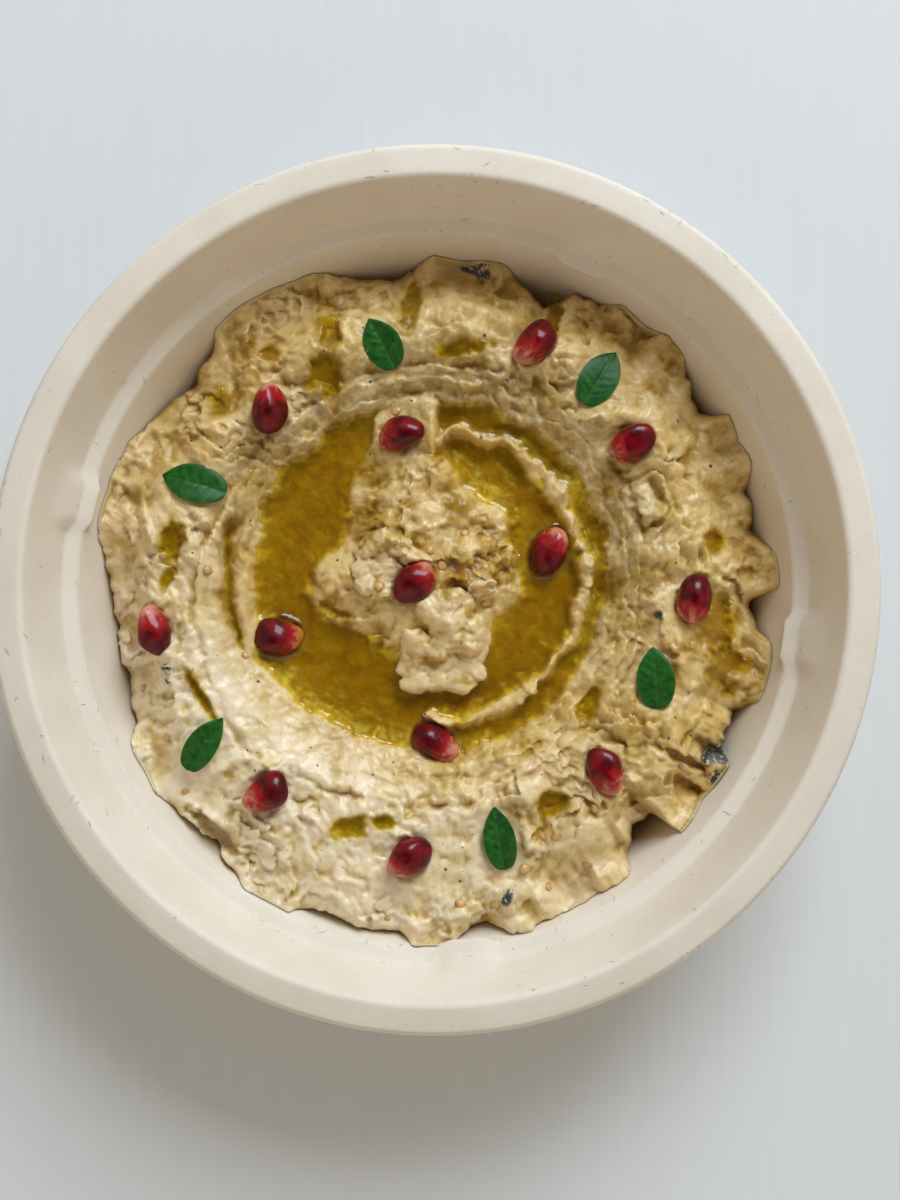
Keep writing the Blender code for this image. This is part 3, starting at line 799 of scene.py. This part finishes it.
def make_bowl(material, count=300):
    """The bowl as one skin: from under its middle out to the lip, and back in to the floor."""
    inner = bowl_profile()
    outer = [Vector((p.x, max(p.y, 0))) for p in beside(inner, WALL)]
    middle, across = (inner[-1] + outer[-1]) / 2, (outer[-1] - inner[-1]).normalized() * 0.3
    lip = [middle + across + Vector((0.1, -0.4)), middle - across + Vector((0.1, -0.4))]
    section = outer[1:] + lip + inner[:0:-1]
    up = [point.y for point in inner[1:]]
    rings = turned(section, up + [BOWL_TOP, BOWL_TOP] + up[::-1], np.arange(count) * 360 / count)
    points = np.vstack(rings + [rings[0].mean(axis=0), rings[-1].mean(axis=0)])
    faces = skin_faces(count, len(rings))
    add_mesh("moulded_fibre_bowl", points, faces, ["bowl"], "moulded_fibre", material)


def on_bowl(line, at, up, heading, round_by, proud=0.04):
    """A point of the bowl's inner surface, moved up its profile and round it, a little proud."""
    k = int(at)
    here, ahead = line[k], line[k + 1]
    run = (ahead - here).normalized()
    flat = here.lerp(ahead, at - k) + run * up + Vector((-run.y, run.x)) * proud
    a = radians(heading) + round_by / flat.x
    r = flat.x - float(lug_reach(np.degrees(a), flat.y))
    return (r * cos(a), r * sin(a), flat.y)


def make_flecks(material, count=230):
    """Single fibres, each a narrow curved ribbon lying just proud of the bowl's surface."""
    rng = default_rng(5)
    line = [p for p in bowl_profile() if p.x > 73]
    points, faces = [], []
    for _ in range(count):
        at, heading = rng.uniform(1, len(line) - 3), rng.uniform(0, 360)
        length = rng.uniform(0.5, 2.2) * rng.uniform(0.5, 1.3)
        turn, bend, width = rng.uniform(0, pi), rng.normal(0, 0.5), rng.uniform(0.06, 0.12)
        start = len(points)
        for k in range(5):
            along = (k / 4 - 0.5) * length
            half = width * (1 - (k / 2 - 1) ** 2 * 0.8) / 2
            for edge in (-half, half):
                across = bend * (along / length) ** 2 + edge
                up = along * sin(turn) + across * cos(turn)
                round_by = along * cos(turn) - across * sin(turn)
                points.append(on_bowl(line, at, up, heading, round_by))
        faces += [(a, a + 1, a + 3, a + 2) for a in range(start, start + 8, 2)]
    add_mesh("dark_fibres", points, faces, [], "moulded_fibre", material)


# ---- dip
def dip_side(top, reach, heading, bottom=2.6):
    """Rings down the dip's rough side, from its edge to just over the bowl's floor."""
    side_x, side_y = polar(MEAN_REACH, heading)
    rings = []
    for share in (0.03, 0.08, 0.15, 0.25, 0.38, 0.55, 0.75, 1):
        z = top + (bottom - top) * share
        uneven = 1.2 * fractal(side_x + 0.7 * z, side_y - 0.7 * z, 4, 41, 3)
        bulge = uneven - 2.2 * share * (1 - share)
        r = np.minimum(reach + bulge * ease(0, 0.1, share), wall_radius(z) - 0.4)
        rings.append(np.stack([*polar(r, heading), z], axis=-1))
    return rings


def leaned(x, y, z, faces, loose):
    """Points moved sideways by how far they stand out, so that crags lean over and curl."""
    out = 0.6 * (z - evened(z, faces, 8)) + 0.4 * (z - evened(z, faces, 40))
    lean_x = 1.9 * fractal(x, y, 16, 43, 3)
    lean_y = 1.9 * fractal(x, y, 16, 44, 3)
    return x + out * lean_x * loose, y + out * lean_y * loose


def dip_reach(heading):
    """How far from the bowl's axis the dip's edge lies, with the small lobes of its outline."""
    side = polar(MEAN_REACH, heading)
    lobes = 0.9 * domes(*side, 9, 45) + 1.7 * fractal(*side, 6, 42, 5)
    reach = round_table(OUTLINE, heading) + lobes
    return reach + 0.8 * ease(75.5, 73, reach)


def led_to_wall(z, reach, share, heading, disc):
    """The dip's surface brought near the wall's height at its edge, and rounded off there.

    The edge follows the wall, but it climbs the wall only a little above the surface beside it.
    """
    calm = np.mean([round_table(OUTLINE, heading + turn) for turn in (-16, -8, 0, 8, 16)], axis=0)
    even = evened(z, disc, 60)
    by_wall = np.clip(even, wall_height(calm) + 2, wall_height(calm) + 4.5)
    z = z + (by_wall - even) * ease(0.82, 0.95, share)
    edge_height = np.maximum(14, wall_height(reach) + 0.4)
    edge_height = np.minimum(edge_height, evened(z, disc, 40) + 1.8)
    down = np.clip((share - 0.92) / 0.08, 0, 1)
    return blend(np.minimum(z, 33), edge_height, 1 - np.sqrt(1 - down**2))


def make_dip(material, rings=168):
    """The dip, spooned into its swirl, out to where it meets the bowl's wall."""
    share, heading, disc = disc_grid(rings)
    reach = dip_reach(heading)
    r = share * blend(73, reach, ease(0.6, 1, share))
    z, rough = dip_height(*polar(r, heading))
    z = led_to_wall(z, reach, share, heading, disc)
    r = np.minimum(r, wall_radius(z) - 0.3)
    x, y = leaned(*polar(r, heading), z, disc, rough * (1 - ease(0.95, 0.995, share)))
    edge = slice(-6 * rings, None)
    side = dip_side(z[edge], r[edge], heading[edge])
    points, faces = closed_disc(x, y, z, disc, rings, side)
    looks = dip_looks(x, y, z, rough, disc)
    return add_mesh("baba_ganoush_dip", points, faces, ["baba_ganoush"], "dip", material, **looks)


def dip_looks(x, y, z, rough, faces):
    """Where the dip lies in folds (darkened as painted shade), under oil, spooned smooth and pale or lit
    by the window (painted light), or has charred skin.
    """
    # fold: how far each point lies below the surface round it; the material darkens it as painted shade,
    # and oil gathers there
    fold = ease(-0.1, 0.55, evened(z, faces, 10) - z)
    fold = np.maximum(fold, ease(0.1, 1.5, evened(z, faces, 70) - z))
    u, heading = swirl_place(x, y)
    depth = np.where(u < 46, OIL_LEVEL - z, 0)
    small = np.max([1 - ease(0.5, 1.45, pool_share(x, y, pool)) for pool in PUDDLES], axis=0)
    side = ease(60, 25, angle_gap(heading, 215))
    swept = ease(38, 42, u) * (1 - ease(49, 53, u)) * side
    # Painted light: the lower-left side, which the window lights, is painted paler, with less painted
    # shade in its folds and less oil
    light = ease(95, 25, angle_gap(heading, 235)) * ease(38, 54, u)
    skin = np.zeros_like(x)
    for at_x, at_y, radius in SKIN:
        away = np.hypot(x - at_x, y - at_y) / radius + 0.5 * perlin(x / 1.7, y / 1.7, 73)
        skin = np.maximum(skin, 1 - ease(0.6, 1.05, away))
    damp = ease(-0.15, 0.45, fractal(x, y, 9, 75, 4, 0.6))
    wetted = np.where(u < 27, 0.75, blend(0.36, 0.08, light)) * damp + 0.3 * fold * damp
    under_oil = 1 - np.exp(-np.maximum(depth, 0) / 1.1)
    inner = ease(33, 37, u) * (1 - ease(49, 55, u))
    return {
        "fold": fold * blend(0.3, 1, rough) * (1 - 0.7 * small) * blend(1, 0.6, light),
        "oil": np.max([under_oil, 0.85 * small, wetted], axis=0),
        "dull": 0.55 * inner * ease(120, 70, angle_gap(heading, 70)),
        "pale_and_lit": np.clip(0.2 * swept + 0.9 * light, 0, 1),
        "skin": skin,
    }


def make_spoonful(material, rings=64):
    """The last spoonful of dip, left standing on the mound and partly over the oil."""
    share, heading, disc = disc_grid(rings)
    x, y = polar(SPOONFUL_REACH * share, heading)
    x, y = x + SPOONFUL_MIDDLE[0], y + SPOONFUL_MIDDLE[1]
    base = dip_height(x, y)[0]
    rise = spoonful_height(x, y)
    shown = ease(0, 0.6, rise)
    curls = domes(x + fractal(x, y, 3, 34, 2), y, 3, 33) + 0.6 * fractal(x, y, 2.2, 35, 3)
    z = blend(base - 2.5, np.maximum(base, OIL_LEVEL - 0.5) + rise + 0.55 * curls, shown)
    nest = nearest_aril(x, y)
    z = np.where(nest < 1.12, np.minimum(z, blend(base, z, ease(0.8, 1.12, nest))), z)
    x, y = leaned(x, y, z, disc, shown)
    damp = ease(0, 0.4, fractal(x, y, 4.5, 76, 3) - 0.4 * curls)
    # fold: the spoonful's creases, which the material darkens as painted shade
    fold, oil = ease(0, 0.5, evened(z, disc, 12) - z) * shown, np.maximum(1 - shown, 0.45 * damp)
    looks = {"fold": fold, "oil": oil, "dull": 0 * z, "pale_and_lit": 0.3 * shown, "skin": 0 * z}
    points, faces = closed_disc(x, y, z, disc, rings, 2)
    return add_mesh("spoonful", points, faces, [], "dip", material, **looks)


# ---- oil
def drawn_up(x, y, level, ground):
    """How far the oil climbs where it meets the dip or an aril."""
    beside_dip = np.exp(-np.maximum(level - ground.height(x, y), 0) / 0.45)
    beside_aril = np.exp(-(((nearest_aril(x, y) - 1) / 0.2) ** 2))
    return 0.45 * beside_dip + 0.5 * beside_aril


def make_oil(material, ground, rings=120):
    """The oil: level, and drawn up a little where it meets the dip."""
    share, heading, disc = disc_grid(rings)
    x, y = polar(OIL_REACH * share, heading)
    x, y = x + SWIRL[0], y + SWIRL[1]
    z = OIL_LEVEL + drawn_up(x, y, OIL_LEVEL, ground) + 0.04 * fractal(x, y, 9, 51, 2)
    points, faces = closed_disc(x, y, z, disc, rings, OIL_BODY)
    add_mesh("olive_oil_pool", points, faces, ["olive_oil"], "olive_oil", material)


def make_puddles(material, ground, rings=14):
    """Small pools of oil in the hollows of the dip, joined as one piece."""
    parts = []
    share, turn, disc = disc_grid(rings)
    for pool in PUDDLES:
        px, py, half_length, half_width, heading, _ = pool
        a, b = np.radians(turn), radians(heading)
        along, across = 1.3 * share * half_length * np.cos(a), 1.3 * share * half_width * np.sin(a)
        x = px + along * cos(b) - across * sin(b)
        y = py + along * sin(b) + across * cos(b)
        floor, away = ground.height(x, y), pool_share(x, y, pool)
        level = np.percentile(floor[(away > 0.75) & (away < 1.1)], 30)
        z = level + 0.2 * np.exp(-np.maximum(level - floor, 0) / 0.3) - 3 * ease(0.95, 1.35, away)
        parts.append(closed_disc(x, y, z, disc, rings, 1))
    add_mesh("oil_puddles", *joined(parts), [], "olive_oil", material)


# ---- toppings
def aril_points(rng):
    """An aril along +X: blunt, with soft facets where its neighbours pressed on it."""
    way = ball_points(*ARIL_BALL)[:, (2, 0, 1)]
    way[:, 1:] /= np.hypot(way[:, 1], way[:, 2])[:, None] ** 0.3 + 1e-6
    planes = rng.normal(size=(12, 3))
    planes /= np.linalg.norm(planes, axis=1)[:, None]
    press = np.clip(way @ planes.T, 0, None) / rng.uniform(0.88, 1, 12)
    reach = (np.sum(press**8, axis=1) + 0.6) ** (-1 / 8)
    shape = way * reach[:, None]
    shape /= np.abs(shape).max(axis=0)
    tip = (shape[:, 0] + 1) / 2
    shape[:, 1:] *= (1 - 0.18 * ease(0.35, 1, tip))[:, None]
    shape[:, 1:] *= (1 - 0.1 * ease(0.3, 0, tip))[:, None]
    return shape * np.array(ARIL_SIZE) / 2, tip


def make_aril(index, material, ground):
    rng = default_rng(100 + index)
    x, y, _, heading = ARILS[index - 1]
    shape, tip = aril_points(rng)
    points = ground.laid(shape, x, y, radians(heading), 7, 0.6) + (x, y, ground.drop(x, y))
    points[:, 2] += 0.4 * ARIL_SIZE[2]
    name, faces = f"aril_{index:02d}", skin_faces(*ARIL_BALL)
    add_mesh(name, points, faces, [f"pomegranate_{name}"], "pomegranate", material, tip=tip)


def leaf_shape(length, width, fold, rng):
    """A leaf's upper surface along +X: its points, and how near each is to a vein and the rim."""
    s, t = np.meshgrid(np.linspace(0, 1, LEAF_ROWS), np.linspace(-1, 1, LEAF_COLUMNS), indexing="ij")
    half = width / 2 * (1 - np.abs(2 * s**0.9 - 1) ** 2.1) ** (0.5 + 0.45 * s) + 0.1
    y = half * t
    slant = s * 7 - 1.2 * np.abs(t)
    side_vein = np.exp(-(((slant - np.round(slant)) / 0.14) ** 2)) * ease(1, 0.4, np.abs(t))
    side_vein *= ease(0.04, 0.12, s) * (1 - ease(0.85, 0.95, s))
    midrib = np.exp(-((y / 0.2) ** 2)) * (1 - 0.7 * s)
    x = length * (s - 0.5)
    z = 0.7 * np.sin(pi * s) + fold * np.abs(y) - 0.3 * np.abs(t) ** 4 * rng.uniform(0.6, 1.4)
    z += -0.18 * midrib - 0.09 * side_vein + 0.35 * np.sin(2.2 * s + rng.uniform(0, 6)) * t
    points = np.stack([x, y, z], axis=-1).reshape(-1, 3)
    return points, np.clip(midrib + 0.45 * side_vein, 0, 1).ravel(), np.abs(t).ravel() ** 10


def leaf_faces(count):
    """Faces of a leaf's upper and under side, and of the edge between them."""
    faces = []
    for i in range(LEAF_ROWS - 1):
        for j in range(LEAF_COLUMNS - 1):
            a, b = i * LEAF_COLUMNS + j, (i + 1) * LEAF_COLUMNS + j
            faces += [(a, b, b + 1, a + 1), (count + a, count + a + 1, count + b + 1, count + b)]
    side = [i * LEAF_COLUMNS for i in range(LEAF_ROWS)]
    border = side + list(range(side[-1] + 1, count))
    border += [i + LEAF_COLUMNS - 1 for i in side[-2::-1]] + list(range(LEAF_COLUMNS - 2, 0, -1))
    for here, after in zip(border, border[1:] + border[:1]):
        faces.append((here, here + count, after + count, after))
    return faces


def make_leaf(index, material, ground):
    rng = default_rng(200 + index)
    x, y, _, heading = LEAVES[index - 1]
    top, vein, rim = leaf_shape(*LEAF_LOOKS[index - 1][1:], rng)
    both = np.vstack([top, top - (0, 0, LEAF_BODY)])
    points = ground.laid(both, x, y, radians(heading), 5, 0.9) + (x, y, 0)
    under = points[len(top) :]
    points[:, 2] += np.percentile(ground.height(under[:, 0], under[:, 1]) - under[:, 2], 97)
    name, faces = f"herb_leaf_{index}", leaf_faces(len(top))
    looks = {"vein": np.tile(vein, 2), "rim": np.tile(rim, 2)}
    leaf = add_mesh(name, points, faces, [f"leaf_{index}"], "herb_leaf", material, **looks)
    leaf.data.set_sharp_from_angle(angle=radians(50))


def scatter(rng, count, ground):
    """Places spread over the dip, (x, y) in millimetres, that are clear of its edge and the oil."""
    r, a = 74 * np.sqrt(rng.uniform(0, 1, count)), rng.uniform(-180, 180, count)
    x, y = polar(r, a)
    clear = (r < round_table(OUTLINE, a) - 2.5) & (ground.height(x, y) > OIL_LEVEL + 0.4)
    return list(zip(x[clear], y[clear]))


def make_bits(name, places, sizes, flatness, sink, material, ground, seed):
    """Small bits of a size between two, lying in the dip's surface, joined as one piece."""
    rng = default_rng(seed)
    ball, faces, parts = ball_points(*BIT_BALL), skin_faces(*BIT_BALL), []
    for x, y in places:
        size = rng.uniform(*sizes)
        shape = ball * (1 + 0.08 * rng.normal(size=(len(ball), 1))) * (size / 2)
        shape = shape * (1, rng.uniform(0.72, 0.95), flatness)
        height = ground.drop(x, y) - sink * size * flatness
        laid = ground.laid(shape, x, y, rng.uniform(0, 2 * pi), 1.2)
        parts.append((laid + (x, y, height), faces))
    rim = ease(0.6, 1, np.hypot(ball[:, 0], ball[:, 1]))
    add_mesh(name, *joined(parts), [], "dip", material, rim=np.tile(rim, len(places)))


# ---- stage
def make_floor(material, size=1.5):
    corners = [(-size, -size, 0), (size, -size, 0), (size, size, 0), (-size, size, 0)]
    mesh = bpy.data.meshes.new("floor")
    mesh.from_pydata(corners, [], [(0, 1, 2, 3)])
    mesh.materials.append(material)
    floor = add_object("floor", mesh)


def add_light(name, heading, elevation, distance, size, power, colour):
    """A soft square light that faces the bowl."""
    light = bpy.data.lights.new(name, "AREA")
    light.size, light.energy, light.color = size, power, colour
    lamp = add_object(name, light)
    a, e = radians(heading), radians(elevation)
    lamp.location = Vector((cos(a) * cos(e), sin(a) * cos(e), sin(e))) * distance
    lamp.rotation_euler = (-lamp.location).to_track_quat("-Z", "Y").to_euler()


def add_camera():
    """Looks straight down, a little to the right of the bowl's middle and in front of it."""
    camera = bpy.data.cameras.new("camera")
    camera.sensor_fit, camera.sensor_height, camera.lens = "VERTICAL", 36, LENS
    eye = add_object("camera", camera)
    eye.location = EYE
    bpy.context.scene.camera = eye


def add_room_light():
    """A dim room round the table, dark overhead."""
    world = bpy.data.worlds.new("room")
    world.use_nodes = True
    nodes, links = world.node_tree.nodes, world.node_tree.links
    height, strength = nodes.new("ShaderNodeSeparateXYZ"), nodes.new("ShaderNodeMapRange")
    ranges = {"From Min": 0.75, "From Max": 0.97, "To Min": 0.47, "To Max": 0.05}
    for key, value in ranges.items():
        strength.inputs[key].default_value = value
    links.new(nodes.new("ShaderNodeTexCoord").outputs["Generated"], height.inputs[0])
    links.new(height.outputs["Z"], strength.inputs["Value"])
    links.new(strength.outputs["Result"], nodes["Background"].inputs["Strength"])
    nodes["Background"].inputs["Color"].default_value = (1, 0.93, 0.83, 1)
    bpy.context.scene.world = world


def light_scene():
    add_light("window", 68, 39, 1.9, 1, 30.8, (0.87, 0.97, 1.1))
    add_light("bounce", 262, 34, 1.5, 1.2, 2.2, (1, 0.76, 0.47))
    add_room_light()
    bpy.context.scene.view_settings.view_transform = "Standard"


def main():
    make_floor(floor_material())
    light_scene()
    add_camera()
    make_bowl(fibre_material())
    make_flecks(fleck_material())
    dip, oil = dip_material(), oil_material()
    ground = Ground(make_dip(dip), make_spoonful(dip))
    make_oil(oil, ground)
    make_puddles(oil, ground)
    aril, leaf = aril_material(), leaf_material()
    for index in range(1, len(ARILS) + 1):
        make_aril(index, aril, ground)
    for index in range(1, len(LEAVES) + 1):
        make_leaf(index, leaf, ground)
    rng = default_rng(9)
    seeds = list(SEEDS) + scatter(rng, 14, ground)
    make_bits("aubergine_seeds", seeds, (1.9, 2.6), 0.4, 0.1, seed_material(), ground, 61)
    specks = scatter(rng, 90, ground)
    make_bits("charred_flecks", specks, (0.3, 0.9), 0.4, 0.2, char_material(), ground, 62)


main()
